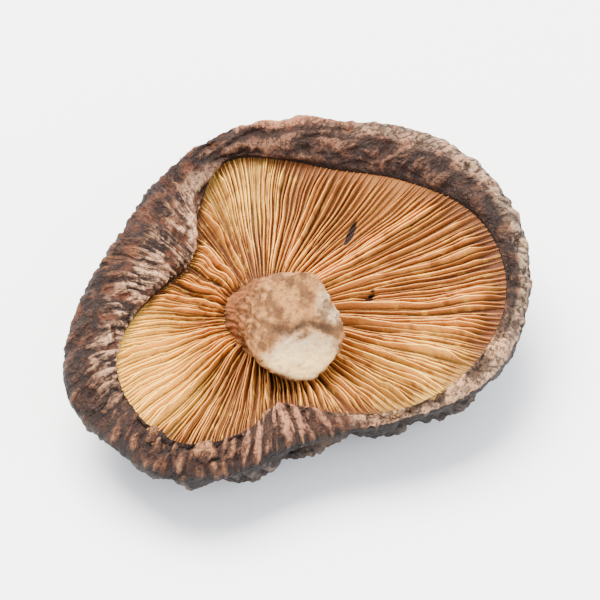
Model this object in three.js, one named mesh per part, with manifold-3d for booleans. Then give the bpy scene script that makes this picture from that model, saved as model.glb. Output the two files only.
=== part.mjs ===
// A dried shiitake mushroom lying on its cap, with the gills and the bent stem upwards.
// Millimetres, +Z up. The origin is the middle of the bottom face of its bounding box.
import * as THREE from "three";
import { mergeVertices } from "three/addons/utils/BufferGeometryUtils.js";
import Module from "manifold-3d";

const turn = 2 * Math.PI;

// The cap seen from the gill side, about the stem's foot. Each station gives its angle in degrees,
// the rim's radius, the gills' radius, the heights of the gills' outer edge and of the rim,
// and how far the turned-in margin stands above them.
const capStations = [
  [0, 28.3, 25.8, 4.6, 3.6, 1.4],
  [20, 28.8, 24.6, 5.0, 4.2, 2.2],
  [40, 27.3, 20.6, 4.8, 4.6, 2.8],
  [60, 23.8, 17.2, 4.4, 4.6, 3.0],
  [80, 21.2, 16.4, 4.0, 4.4, 2.8],
  [100, 19.6, 16.0, 3.8, 4.2, 2.4],
  [115, 17.8, 11.8, 3.6, 4.2, 2.6],
  [130, 16.4, 8.4, 3.0, 4.2, 3.0],
  [150, 15.2, 7.2, 2.6, 4.0, 3.2],
  [175, 16.4, 8.8, 3.0, 3.8, 3.0],
  [195, 19.1, 11.8, 3.8, 3.8, 2.6],
  [215, 22.3, 16.2, 4.6, 3.8, 2.0],
  [235, 23.2, 19.4, 5.0, 3.6, 1.6],
  [252, 23.6, 20.4, 5.0, 3.4, 1.4],
  [268, 21.4, 17.6, 4.6, 3.2, 1.6],
  [282, 19.0, 14.0, 4.0, 3.0, 2.0],
  [300, 19.2, 17.0, 4.0, 3.2, 1.4],
  [318, 22.3, 21.3, 4.4, 3.4, 0.8],
  [338, 26.4, 24.2, 4.6, 3.4, 1.2],
];

const gap = 0.3; // clearance between the organs

const cap = {
  crown: [0.5, 1.8], // where it rests, under its weight
  flattened: 0.28, // how much of the crown the surface has pressed flat
  shoulder: 0.9, // roundness of the skin's profile: lower is fuller
  columns: 96,
  skinRings: 19,
  marginRings: 9,
  skinFurrow: 1.3, // depth of the furrows in the skin
  marginFurrow: 0.6, // and of those in the turned-in margin
  calmInner: 5.0, // the skin is smooth within this distance of the crown
  calmOuter: 10.0, // and has its full furrows beyond this one
  calmRim: 0.12, // the share of the way down from the rim over which the furrows set in
  marginPower: 0.85, // how steeply the turned-in margin stands over the gills: lower is steeper
};

const furrows = {
  stray: 1.3, // how far they wander sideways
  strayRates: [0.42, 0.6, 0.47, -0.5], // how fast they do, for each millimetre
  strayStarts: [1.0, 2.2],
  crossRates: [0.52, 0.55], // how close they lie each way
  bend: 0.9,
  bendRates: [0.31, 0.35],
  sharpness: 0.7, // lower makes them narrower
  marginScale: 0.8, // their spread along the margin
  marginTurn: 9, // and how much they change from the gills to the rim
};

const gills = {
  count: 96, // every second one is short
  rings: 12,
  bedThickness: 1.0,
  bedPower: 1.5, // how the bed curves up from the stem to the margin
  height: 1.15,
  longStart: 0.08, // where a long gill begins, as a share of the way to the margin
  shortStart: 0.45, // and a short one
  swell: 0.2, // the share over which a gill reaches its height
  fallStart: 0.85, // where it starts to drop towards the margin
  fall: 0.6, // how much of its height it loses there
  sway: 0.03, // radians that a gill strays sideways
  waves: [5, 4], // how often it does, round the cap and along the gill
  clearance: 0.345, // from the bed down to the cap's flesh: the gap, kept where the bed is steep
};
const bedFractions = [0.34, 0.67, 1]; // rings of the bed's underside and of the flesh below it

const stem = {
  foot: [1.0, 0.2, -1.05],
  bend: [2.9, -4.0, 4.7],
  end: [4.9, -7.35, 8.3],
  halfWidths: [4.0, 4.1, 4.9], // at the foot, the middle and the end
  halfDepths: [3.8, 4.6, 6.0],
  columns: 32,
  rings: 9,
  domeHeight: 1.3,
  straightEnd: 0.5, // it stands level at the foot and follows its own bend from here on
  knobs: [[0.05, 3, 2, 1], [0.04, 5, -4, 0]], // swellings: height, number round it, twist, start
};
const domeRings = [[0.92, 0.4], [0.72, 0.76], [0.4, 0.95]]; // share of the section, share of the height

// How the mushroom lies: the gill side leans towards -Y, and this is where the stem's foot comes
const lean = THREE.MathUtils.degToRad(8);
const footPlace = [-4.79, 1.3, 7.1];

function smooth(low, high, value) {
  return THREE.MathUtils.smoothstep(value, low, high);
}

// The five measures of the outline at any angle, on a smooth closed curve through the stations
function outlineAt(angle) {
  const count = capStations.length;
  const degrees = THREE.MathUtils.radToDeg(THREE.MathUtils.euclideanModulo(angle, turn));
  const at = (k) => {
    const lap = Math.floor(k / count);
    const station = capStations[k - lap * count];
    return [station[0] + 360 * lap, ...station.slice(1)];
  };
  let k = count - 1;
  while (capStations[k][0] > degrees) k -= 1;
  const [before, from, to, after] = [at(k - 1), at(k), at(k + 1), at(k + 2)];
  const span = to[0] - from[0];
  const t = (degrees - from[0]) / span;
  const value = (i) => {
    const slopeFrom = (to[i] - before[i]) / (to[0] - before[0]);
    const slopeTo = (after[i] - from[i]) / (after[0] - from[0]);
    const start = (2 * t - 3) * t * t + 1;
    const rise = (3 - 2 * t) * t * t;
    const leave = ((t - 2) * t + 1) * t * span;
    const arrive = (t - 1) * t * t * span;
    return start * from[i] + leave * slopeFrom + rise * to[i] + arrive * slopeTo;
  };
  return {
    rim: value(1),
    gillEdge: value(2),
    gillHeight: value(3),
    rimHeight: value(4),
    marginRise: value(5),
  };
}

// Furrows that wander and cross, as on a dried cap: 0 in a furrow, 1 on a ridge
function crumple(x, y, z) {
  const { stray, strayRates, strayStarts, crossRates, bend, bendRates } = furrows;
  const u = x + stray * Math.sin(strayRates[0] * y + strayRates[1] * z + strayStarts[0]);
  const v = y + stray * Math.sin(strayRates[2] * x + strayRates[3] * z + strayStarts[1]);
  const across = Math.abs(Math.sin(crossRates[0] * u + bend * Math.sin(bendRates[0] * v)));
  const lengthwise = Math.abs(Math.sin(crossRates[1] * v + bend * Math.sin(bendRates[1] * u)));
  return Math.min(across, lengthwise) ** furrows.sharpness;
}

// From the mushroom's own place about the stem's foot to where it lies
function lay([x, y, z]) {
  const placedY = y * Math.cos(lean) - z * Math.sin(lean) + footPlace[1];
  const placedZ = y * Math.sin(lean) + z * Math.cos(lean) + footPlace[2];
  return [x + footPlace[0], placedY, placedZ];
}

// The outside of the cap, where it lies: share 0 at the rim, 1 at the crown. Each ring is the leaned
// rim drawn in towards the crown, which is level.
function skinPoint(angle, share) {
  const { rim, rimHeight } = outlineAt(angle);
  const [rimX, rimY, rimZ] = lay([rim * Math.cos(angle), rim * Math.sin(angle), rimHeight]);
  const dip = (Math.PI / 2) * share;
  const inward = Math.sin(dip) ** 2;
  const width = Math.cos(dip) ** cap.shoulder;
  const x = THREE.MathUtils.lerp(footPlace[0], cap.crown[0], inward) + (rimX - footPlace[0]) * width;
  const y = THREE.MathUtils.lerp(footPlace[1], cap.crown[1], inward) + (rimY - footPlace[1]) * width;
  const z = (rimZ + cap.flattened) * (1 - Math.sin(dip)) - cap.flattened;
  const reach = Math.hypot(x - cap.crown[0], y - cap.crown[1]);
  const calm = smooth(cap.calmInner, cap.calmOuter, reach) * smooth(0, cap.calmRim, share);
  const depth = cap.skinFurrow * (crumple(x, y, z) - 1) * calm;
  return [
    x + depth * Math.cos(dip) * Math.cos(angle),
    y + depth * Math.cos(dip) * Math.sin(angle),
    Math.max(z - depth * Math.sin(dip), 0),
  ];
}

// The turned-in margin: share 0 at the gills, 1 at the rim
function marginPoint(angle, share) {
  const { rim, gillEdge, gillHeight, rimHeight, marginRise } = outlineAt(angle);
  const roll = Math.PI * share;
  const reach = furrows.marginScale * rim;
  const fold = crumple(reach * Math.cos(angle), reach * Math.sin(angle), furrows.marginTurn * share);
  const depth = cap.marginFurrow * (fold - 1) * Math.sin(roll);
  const radius = (rim + gillEdge) / 2 - ((rim - gillEdge) / 2) * Math.cos(roll);
  const blend = (1 - Math.cos(roll)) / 2;
  const rise = marginRise * Math.abs(Math.sin(roll)) ** cap.marginPower;
  const height = gillHeight + (rimHeight - gillHeight) * blend + rise + depth;
  return [radius * Math.cos(angle), radius * Math.sin(angle), height];
}

// The shallow bowl that the gills stand in, lowered by a depth
function bowlPoint(angle, share, depth, inset) {
  const { gillEdge, gillHeight } = outlineAt(angle);
  const radius = (gillEdge - inset) * share;
  const height = gillHeight * (radius / gillEdge) ** gills.bedPower - depth;
  return [radius * Math.cos(angle), radius * Math.sin(angle), height];
}

// A gill's edge or the valley beside it, on the bed: share 0 at the middle, 1 at the margin
function gillPoint(column, share) {
  const columns = 2 * gills.count;
  const straight = (turn * column) / columns;
  const wave = Math.sin(gills.waves[0] * straight + gills.waves[1] * share);
  const stray = gills.sway * wave * Math.sin(Math.PI * share);
  const point = bowlPoint(straight + stray, share, 0, gap);
  const isEdge = column % 2 === 0;
  const isShort = column % 4 === 2;
  const start = isShort ? gills.shortStart : gills.longStart;
  const swell = smooth(start, start + gills.swell, share);
  const fall = 1 - gills.fall * smooth(gills.fallStart, 1, share);
  const rise = isEdge ? gills.height * swell * fall : 0;
  return [point[0], point[1], point[2] + rise];
}

function ringOf(columns, pointAt) {
  return Array.from({ length: columns }, (_, column) => pointAt((turn * column) / columns, column));
}

// A closed body from its first pole, over its rings, to its last pole, with its faces pointing out
// where the rings run counterclockwise and the first pole is the lower one
function ringBody(firstPole, rings, lastPole) {
  const columns = rings[0].length;
  const vertices = [firstPole, ...rings.flat(), lastPole];
  const at = (ring, column) => 1 + ring * columns + (column % columns);
  const last = vertices.length - 1;
  const faces = [];
  for (let column = 0; column < columns; column += 1) {
    faces.push(0, at(0, column + 1), at(0, column));
    faces.push(last, at(rings.length - 1, column), at(rings.length - 1, column + 1));
    for (let ring = 0; ring + 1 < rings.length; ring += 1) {
      const [a, b] = [at(ring, column), at(ring, column + 1)];
      const [c, d] = [at(ring + 1, column + 1), at(ring + 1, column)];
      faces.push(a, b, c, a, c, d);
    }
  }
  const geometry = new THREE.BufferGeometry();
  geometry.setAttribute("position", new THREE.Float32BufferAttribute(vertices.flat(), 3));
  geometry.setIndex(faces);
  return geometry;
}

function makeCap() {
  const rings = [];
  for (let k = cap.skinRings; k >= 1; k -= 1) {
    const share = k / (cap.skinRings + 1);
    rings.push(ringOf(cap.columns, (angle) => skinPoint(angle, share)));
  }
  for (let k = cap.marginRings; k >= 0; k -= 1) {
    const share = k / cap.marginRings;
    rings.push(ringOf(cap.columns, (angle) => lay(marginPoint(angle, share))));
  }
  const depth = gills.bedThickness + gills.clearance;
  for (const share of bedFractions.toReversed()) {
    rings.push(ringOf(cap.columns, (angle) => lay(bowlPoint(angle, share, depth, 0))));
  }
  return ringBody(skinPoint(0, 1), rings, lay([0, 0, -depth]));
}

function makeGillDisc() {
  const columns = 2 * gills.count;
  const depth = gills.bedThickness;
  const rings = bedFractions.map((share) =>
    ringOf(columns, (angle) => lay(bowlPoint(angle, share, depth, gap))),
  );
  for (let k = gills.rings; k >= 1; k -= 1) {
    rings.push(ringOf(columns, (angle, column) => lay(gillPoint(column, k / gills.rings))));
  }
  return ringBody(lay([0, 0, -depth]), rings, lay([0, 0, 0]));
}

// A value that runs through three given ones along the stem
function along([first, middle, last], t) {
  const half = t < 0.5;
  return THREE.MathUtils.lerp(half ? first : middle, half ? middle : last, half ? 2 * t : 2 * t - 1);
}

function swellings(angle, t) {
  const heights = stem.knobs.map(([height, number, twist, start]) =>
    height * Math.sin(number * angle + twist * t + start),
  );
  return heights.reduce((sum, height) => sum + height, 0);
}

// The stem's skin, fattened by a clearance: it stands level on the flesh, bends towards the front
// and ends in a low dome
function makeStem(clearance) {
  const vector = (values) => new THREE.Vector3(...values);
  const curve = new THREE.QuadraticBezierCurve3(vector(stem.foot), vector(stem.bend), vector(stem.end));
  const up = new THREE.Vector3(0, 0, 1);
  const section = (t, scale, lift) => {
    const bent = smooth(0, stem.straightEnd, t);
    const direction = up.clone().lerp(curve.getTangent(t), bent).normalize();
    const centre = curve.getPoint(t).addScaledVector(direction, lift);
    const across = new THREE.Vector3(1, 0, 0).addScaledVector(direction, -direction.x).normalize();
    const upward = direction.clone().cross(across);
    const halfWidth = along(stem.halfWidths, t);
    const halfDepth = along(stem.halfDepths, t);
    return ringOf(stem.columns, (angle) => {
      const knob = 1 + swellings(angle, t);
      const point = centre
        .clone()
        .addScaledVector(across, (halfWidth * knob + clearance) * scale * Math.cos(angle))
        .addScaledVector(upward, (halfDepth * knob + clearance) * scale * Math.sin(angle));
      return lay(point.toArray());
    });
  };
  const rings = [];
  for (let k = 0; k <= stem.rings; k += 1) {
    rings.push(section(k / stem.rings, 1, k === 0 ? -clearance : 0));
  }
  for (const [scale, share] of domeRings) {
    rings.push(section(1, scale, stem.domeHeight * share + clearance));
  }
  const bottom = curve.getPoint(0).addScaledVector(up, -clearance);
  const top = curve.getPoint(1).addScaledVector(curve.getTangent(1), stem.domeHeight + clearance);
  return ringBody(lay(bottom.toArray()), rings, lay(top.toArray()));
}

const wasm = await Module();
wasm.setup();

function toSolid(geometry) {
  const merged = mergeVertices(geometry);
  return new wasm.Manifold(
    new wasm.Mesh({
      numProp: 3,
      vertProperties: merged.attributes.position.array,
      triVerts: new Uint32Array(merged.index.array),
    }),
  );
}

function toGeometry(solid) {
  const mesh = solid.getMesh();
  const geometry = new THREE.BufferGeometry();
  geometry.setAttribute("position", new THREE.Float32BufferAttribute(mesh.vertProperties, 3));
  geometry.setIndex([...mesh.triVerts]);
  return geometry;
}

// The stem's foot passes through the gills' bed into a shallow seat in the cap's flesh, so both
// stop short of it all round
function clearOfStem(geometry) {
  return toGeometry(toSolid(geometry).subtract(toSolid(makeStem(gap))));
}

function addPiece(group, name, geometry, color, roughness) {
  geometry.computeVertexNormals();
  const material = new THREE.MeshStandardMaterial({ color, roughness, metalness: 0 });
  const mesh = new THREE.Mesh(geometry, material);
  mesh.name = name;
  group.add(mesh);
}

const mushroom = new THREE.Group();
addPiece(mushroom, "cap", clearOfStem(makeCap()), 0x7a5f50, 0.85);
addPiece(mushroom, "gills", clearOfStem(makeGillDisc()), 0xd29a62, 0.8);
addPiece(mushroom, "stem", makeStem(0), 0xcdaa85, 0.85);

export default mushroom;
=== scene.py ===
import math
import bpy
import numpy as np
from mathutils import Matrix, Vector


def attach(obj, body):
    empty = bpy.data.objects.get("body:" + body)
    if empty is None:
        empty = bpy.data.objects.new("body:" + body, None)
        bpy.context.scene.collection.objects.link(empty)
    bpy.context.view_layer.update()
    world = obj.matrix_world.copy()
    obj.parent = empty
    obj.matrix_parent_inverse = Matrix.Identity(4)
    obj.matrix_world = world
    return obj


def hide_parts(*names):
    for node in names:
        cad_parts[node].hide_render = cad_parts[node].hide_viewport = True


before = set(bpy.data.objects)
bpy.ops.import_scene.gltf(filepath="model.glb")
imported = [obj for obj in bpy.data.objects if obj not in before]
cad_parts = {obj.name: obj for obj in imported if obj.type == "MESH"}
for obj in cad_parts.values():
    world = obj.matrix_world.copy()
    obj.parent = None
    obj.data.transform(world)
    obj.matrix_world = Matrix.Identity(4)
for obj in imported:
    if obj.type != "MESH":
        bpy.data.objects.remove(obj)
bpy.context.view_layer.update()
mm = 0.001
turn = 2 * math.pi
ringRadius = 22  # millimetres, of the circle that the cap's patterns run round


# Node helpers, for materials and Geometry Nodes alike

def addNode(tree, kind, inputs=None, **settings):
    node = tree.nodes.new(kind)
    for key, value in settings.items():
        setattr(node, key, value)
    for key, value in (inputs or {}).items():
        if isinstance(value, bpy.types.NodeSocket):
            tree.links.new(value, node.inputs[key])
        else:
            node.inputs[key].default_value = value
    return node


def calc(tree, operation, a, b=0.0, clamp=False):
    return addNode(tree, "ShaderNodeMath", {0: a, 1: b}, operation=operation, use_clamp=clamp).outputs[0]


def times(tree, a, b, clamp=False):
    return calc(tree, "MULTIPLY", a, b, clamp)


def highest(tree, values):
    top = values[0]
    for value in values[1:]:
        top = calc(tree, "MAXIMUM", top, value)
    return top


def vecCalc(tree, operation, a, b=(0, 0, 0)):
    node = addNode(tree, "ShaderNodeVectorMath", {0: a, 1: b}, operation=operation)
    return node.outputs["Value" if operation in ("DOT_PRODUCT", "DISTANCE") else "Vector"]


def scaled(tree, vector, factor):
    return addNode(tree, "ShaderNodeVectorMath", {0: vector, 3: factor}, operation="SCALE").outputs[0]


def parts(tree, vector):
    return addNode(tree, "ShaderNodeSeparateXYZ", {0: vector}).outputs


def joined(tree, x, y, z=0.0):
    return addNode(tree, "ShaderNodeCombineXYZ", {0: x, 1: y, 2: z}).outputs[0]


def step(tree, value, low, high, start=0.0, end=1.0):  # a smooth rise of value from low to high
    inputs = {0: value, 1: low, 2: high, 3: start, 4: end}
    return addNode(tree, "ShaderNodeMapRange", inputs, interpolation_type="SMOOTHSTEP").outputs[0]


def noise(tree, vector, scale, detail, roughness=0.5, color=False):
    inputs = {"Vector": vector, "Scale": scale, "Detail": detail, "Roughness": roughness}
    return addNode(tree, "ShaderNodeTexNoise", inputs).outputs["Color" if color else "Fac"]


def mixValue(tree, factor, a, b):
    return addNode(tree, "ShaderNodeMix", {0: factor, 2: a, 3: b}, data_type="FLOAT").outputs[0]


def warped(tree, vector, scale, amount):  # the vector pushed about by a slow noise
    push = vecCalc(tree, "SUBTRACT", noise(tree, vector, scale, 1.0, color=True), (0.5, 0.5, 0.5))
    return vecCalc(tree, "ADD", vector, scaled(tree, push, amount))


def puffs(tree, vector, scale, gain, power, detail):
    # rounded ridges with narrow furrows winding between them: 0 in a furrow, 1 on a ridge
    centred = calc(tree, "SUBTRACT", noise(tree, vector, scale, detail), 0.5)
    height = times(tree, calc(tree, "ABSOLUTE", centred), gain, clamp=True)
    return calc(tree, "POWER", height, power)


def crests(tree, vector, scale, gain, power, detail):
    # narrow ridges winding over a lower ground: 1 on a ridge, 0 between
    centred = calc(tree, "SUBTRACT", noise(tree, vector, scale, detail), 0.5)
    fall = times(tree, calc(tree, "ABSOLUTE", centred), gain, clamp=True)
    return calc(tree, "POWER", calc(tree, "SUBTRACT", 1.0, fall), power)


def geometryTree(name, sizes):
    # an empty Geometry Nodes tree with one named input for each size
    tree = bpy.data.node_groups.new(name, "GeometryNodeTree")
    tree.interface.new_socket("Geometry", in_out="INPUT", socket_type="NodeSocketGeometry")
    for label in sizes:
        tree.interface.new_socket(label, in_out="INPUT", socket_type="NodeSocketFloat")
    tree.interface.new_socket("Geometry", in_out="OUTPUT", socket_type="NodeSocketGeometry")
    return tree, addNode(tree, "NodeGroupInput").outputs


def closeTree(tree, geometry, material):
    real = addNode(tree, "GeometryNodeRealizeInstances", {"Geometry": geometry})
    dressed = addNode(tree, "GeometryNodeSetMaterial", {"Geometry": real.outputs[0], "Material": material})
    addNode(tree, "NodeGroupOutput", {"Geometry": dressed.outputs[0]})


def field(tree, kind):  # what each point knows of itself
    return addNode(tree, "GeometryNodeInput" + kind).outputs[0]


def placed(tree, geometry, **where):
    return addNode(tree, "GeometryNodeSetPosition", {"Geometry": geometry, **where}).outputs[0]


def readAttribute(tree, name, kind="FLOAT"):
    return addNode(tree, "GeometryNodeInputNamedAttribute", {"Name": name}, data_type=kind).outputs[0]


def keepAttribute(tree, geometry, name, value, kind="FLOAT"):
    inputs = {"Geometry": geometry, "Name": name, "Value": value}
    return addNode(tree, "GeometryNodeStoreNamedAttribute", inputs, data_type=kind).outputs[0]


def embossed(tree, geometry, name, relief, depth):
    # pushes the surface out by the relief, depth in millimetres, and keeps the relief for the material
    level = 0.7  # relief of this height stays in place
    push = times(tree, calc(tree, "SUBTRACT", relief, level), depth)
    geometry = keepAttribute(tree, geometry, name, relief)
    return placed(tree, geometry, Offset=scaled(tree, field(tree, "Normal"), times(tree, push, mm)))


def added(name, data):
    thing = bpy.data.objects.new(name, data)
    bpy.context.scene.collection.objects.link(thing)
    return thing


def grown(name, mesh, tree, sizes, sharpFrom=math.pi):
    # runs a tree on a mesh and returns the result as a plain object
    base = added(name + "Base", mesh)
    modifier = base.modifiers.new(name, "NODES")
    modifier.node_group = tree
    for item in tree.interface.items_tree:
        if item.in_out == "INPUT" and item.name in sizes:
            modifier[item.identifier] = float(sizes[item.name])
    depsgraph = bpy.context.evaluated_depsgraph_get()
    plain = bpy.data.meshes.new_from_object(base.evaluated_get(depsgraph), depsgraph=depsgraph)
    base.modifiers.remove(modifier)
    bpy.data.objects.remove(base)
    plain.name = name
    piece = added(name, plain)
    plain.shade_smooth()
    plain.set_sharp_from_angle(angle=sharpFrom)
    triangles = sum(len(polygon.vertices) - 2 for polygon in plain.polygons)
    print(name, len(plain.vertices), "vertices,", triangles, "triangles")
    return piece


# The mushroom's form: the same stations and sizes as its solids, in millimetres about the stem's foot

capStations = [  # angle, rim radius, gill radius, gill edge height, rim height, rise of the margin
    (0, 28.3, 25.8, 4.6, 3.6, 1.4),
    (20, 28.8, 24.6, 5.0, 4.2, 2.2),
    (40, 27.3, 20.6, 4.8, 4.6, 2.8),
    (60, 23.8, 17.2, 4.4, 4.6, 3.0),
    (80, 21.2, 16.4, 4.0, 4.4, 2.8),
    (100, 19.6, 16.0, 3.8, 4.2, 2.4),
    (115, 17.8, 11.8, 3.6, 4.2, 2.6),
    (130, 16.4, 8.4, 3.0, 4.2, 3.0),
    (150, 15.2, 7.2, 2.6, 4.0, 3.2),
    (175, 16.4, 8.8, 3.0, 3.8, 3.0),
    (195, 19.1, 11.8, 3.8, 3.8, 2.6),
    (215, 22.3, 16.2, 4.6, 3.8, 2.0),
    (235, 23.2, 19.4, 5.0, 3.6, 1.6),
    (252, 23.6, 20.4, 5.0, 3.4, 1.4),
    (268, 21.4, 17.6, 4.6, 3.2, 1.6),
    (282, 19.0, 14.0, 4.0, 3.0, 2.0),
    (300, 19.2, 17.0, 4.0, 3.2, 1.4),
    (318, 22.3, 21.3, 4.4, 3.4, 0.8),
    (338, 26.4, 24.2, 4.6, 3.4, 1.2),
]
lying = {"lean": math.radians(8), "foot": (-4.79, 1.3, 7.1)}  # the gill side leans towards -Y


def outlineAt(angle):
    # the five measures at any angle, on a smooth closed curve through the stations
    table = np.array(capStations, float)
    laps = [table[-2:] - (360, 0, 0, 0, 0, 0), table, table[:2] + (360, 0, 0, 0, 0, 0)]
    table = np.concatenate(laps)
    places, values = np.radians(table[:, 0]), table[:, 1:]
    slopes = np.zeros_like(values)
    slopes[1:-1] = (values[2:] - values[:-2]) / (places[2:] - places[:-2])[:, None]
    angle = np.mod(angle, turn)
    k = np.clip(np.searchsorted(places, angle, side="right") - 1, 1, len(places) - 3)
    span = (places[k + 1] - places[k])[..., None]
    t = (angle[..., None] - places[k][..., None]) / span
    start, rise = (2 * t - 3) * t * t + 1, (3 - 2 * t) * t * t
    leave, arrive = ((t - 2) * t + 1) * t * span, (t - 1) * t * t * span
    out = start * values[k] + leave * slopes[k] + rise * values[k + 1] + arrive * slopes[k + 1]
    return np.moveaxis(out, -1, 0)


def lay(points):
    # from the mushroom's own place about the stem's foot to where it lies
    x, y, z = np.moveaxis(points, -1, 0)
    cosLean, sinLean = math.cos(lying["lean"]), math.sin(lying["lean"])
    footX, footY, footZ = lying["foot"]
    return np.stack([x + footX, y * cosLean - z * sinLean + footY, y * sinLean + z * cosLean + footZ], -1)


def smooth(low, high, value):
    t = np.clip((value - low) / (high - low), 0, 1)
    return t * t * (3 - 2 * t)


def crumple(x, y, z):
    # the widest furrows, as in the solid: 0 in a furrow, 1 on a ridge
    u = x + 1.3 * np.sin(0.42 * y + 0.6 * z + 1.0)
    v = y + 1.3 * np.sin(0.47 * x - 0.5 * z + 2.2)
    across = np.abs(np.sin(0.52 * u + 0.9 * np.sin(0.31 * v)))
    along = np.abs(np.sin(0.55 * v + 0.9 * np.sin(0.35 * u)))
    return np.minimum(across, along) ** 0.7


def around(angle, radius, height):
    return np.stack([radius * np.cos(angle), radius * np.sin(angle), height], -1)


def gridMesh(name, grid, attributes, firstPole=None, lastPole=None):
    # a mesh over rings of points, which run counterclockwise seen from above; faces point out
    # where the first ring is the lower one; it ends in poles, or else the last ring joins the first
    rings, columns = grid.shape[:2]
    index = np.arange(rings * columns).reshape(rings, columns)
    right = np.roll(index, -1, axis=1)
    quads = np.stack([index[:-1], right[:-1], right[1:], index[1:]], -1).reshape(-1, 4)
    if firstPole is None:
        quads = np.concatenate([quads, np.stack([index[-1], right[-1], right[0], index[0]], -1)])
    points, faces = grid.reshape(-1, 3), quads.tolist()
    values = {key: value.reshape(rings * columns, -1) for key, value in attributes.items()}
    if firstPole is not None:
        low, high = len(points), len(points) + 1
        faces += [(low, b, a) for a, b in zip(index[0], right[0])]
        faces += [(high, a, b) for a, b in zip(index[-1], right[-1])]
        points = np.concatenate([points, [firstPole, lastPole]])
        for key, value in values.items():
            values[key] = np.concatenate([value, [value[:columns].mean(0), value[-columns:].mean(0)]])
    mesh = bpy.data.meshes.new(name)
    mesh.from_pydata((points * mm).tolist(), [], faces)
    for key, value in values.items():
        kind = "FLOAT" if value.shape[1] == 1 else "FLOAT_VECTOR"
        mesh.attributes.new(key, kind, "POINT").data.foreach_set(
            "value" if kind == "FLOAT" else "vector", value.ravel())
    mesh.update()
    return mesh


# Camera: the photograph looks down on the mushroom at about 47 degrees

viewing = {
    "elevation": math.radians(47),
    "distance": 0.6,
    "target": (0.00016, 0.00253, 0.008),  # the middle of the frame
    "frameWidth": 0.061,  # what the frame spans at the target
}


def makeCamera():
    camera = added("camera", bpy.data.cameras.new("camera"))
    elevation, distance = viewing["elevation"], viewing["distance"]
    back = Vector((0, -math.cos(elevation), math.sin(elevation)))
    camera.location = Vector(viewing["target"]) + back * distance
    camera.rotation_euler = (-back).to_track_quat("-Z", "Y").to_euler()
    camera.data.lens = camera.data.sensor_width * distance / viewing["frameWidth"]
    camera.data.clip_start, camera.data.clip_end = 0.01, 20
    bpy.context.scene.camera = camera


makeCamera()
print("camera placed")


# Materials

def newMaterial(name, surface):
    material = bpy.data.materials.new(name)
    material.use_nodes = True
    shader = material.node_tree.nodes["Principled BSDF"]
    for key, value in surface.items():
        shader.inputs[key].default_value = value
    return material, material.node_tree, shader


def ramp(tree, value, stops):
    node = addNode(tree, "ShaderNodeValToRGB", {0: value})
    elements = node.color_ramp.elements
    while len(elements) < len(stops):
        elements.new(0.5)
    for element, (place, color) in zip(elements, stops):
        element.position = place
        element.color = (*color, 1)
    return node.outputs[0]


def mixColor(tree, factor, a, b):
    values = [(*v, 1) if isinstance(v, tuple) else v for v in (a, b)]
    inputs = {0: factor, 6: values[0], 7: values[1]}
    return addNode(tree, "ShaderNodeMix", inputs, data_type="RGBA").outputs[2]


def objectPlace(tree):  # millimetres in the part's own frame
    place = addNode(tree, "ShaderNodeTexCoord").outputs["Object"]
    return scaled(tree, place, 1 / mm)


def shaderAttribute(tree, name, output="Fac"):
    return addNode(tree, "ShaderNodeAttribute", attribute_name=name).outputs[output]


def near(tree, place, centre, inner, outer):  # 1 within inner millimetres of a point, 0 beyond outer
    distance = vecCalc(tree, "DISTANCE", place, centre)
    return step(tree, distance, inner, outer, 1.0, 0.0)


def dress(tree, shader, color, height, bump):
    # the colour, and a bump for what is finer than the mesh
    tree.links.new(color, shader.inputs["Base Color"])
    bumped = addNode(tree, "ShaderNodeBump", {**bump, "Height": height})
    tree.links.new(bumped.outputs[0], shader.inputs["Normal"])


capPatches = {  # direction seen from above, and the degrees off it where the patch is whole and is gone
    "left": (160, 40, 75),
    "top": (80, 28, 45),
    "right": (0, 40, 58),
    "bottom": (255, 35, 55),
    "upperLeft": (125, 12, 30),
    "paleRim": (12, 40, 62),
    "rosyTop": (65, 25, 45),
    "rosyBottom": (283, 9, 20),
    "chipped": (-34, 16, 30),
}
capSurface = {"Roughness": 0.7, "Specular IOR Level": 0.22}
capBump = {"Strength": 0.9, "Distance": 0.0004}
capColors = {
    "furrow": (0.0045, 0.0030, 0.0026),
    "skin": (0.0130, 0.0086, 0.0068),
    "ridge": (0.1050, 0.0740, 0.0580),
    "tan": (0.0900, 0.0420, 0.0180),
    "marginDark": (0.0140, 0.0062, 0.0040),
    "margin": (0.0950, 0.0360, 0.0155),
    "marginPale": (0.2950, 0.1400, 0.0620),
    "chip": (0.5400, 0.2900, 0.1500),
    "mauve": (0.5600, 0.3200, 0.1850),
    "rosy": (0.3800, 0.1600, 0.0850),
    "red": (0.1500, 0.0430, 0.0160),
    "orange": (0.5600, 0.2100, 0.0640),
    "grey": (0.3500, 0.2300, 0.1430),
}


def facing(tree, ring, patch):
    # 1 on one of the cap's patches, 0 elsewhere
    degrees, inner, outer = capPatches[patch]
    aim = (math.cos(math.radians(degrees)) / ringRadius, math.sin(math.radians(degrees)) / ringRadius, 0)
    limits = [math.cos(math.radians(value)) for value in (outer, inner)]
    return step(tree, vecCalc(tree, "DOT_PRODUCT", ring, aim), *limits)


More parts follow.
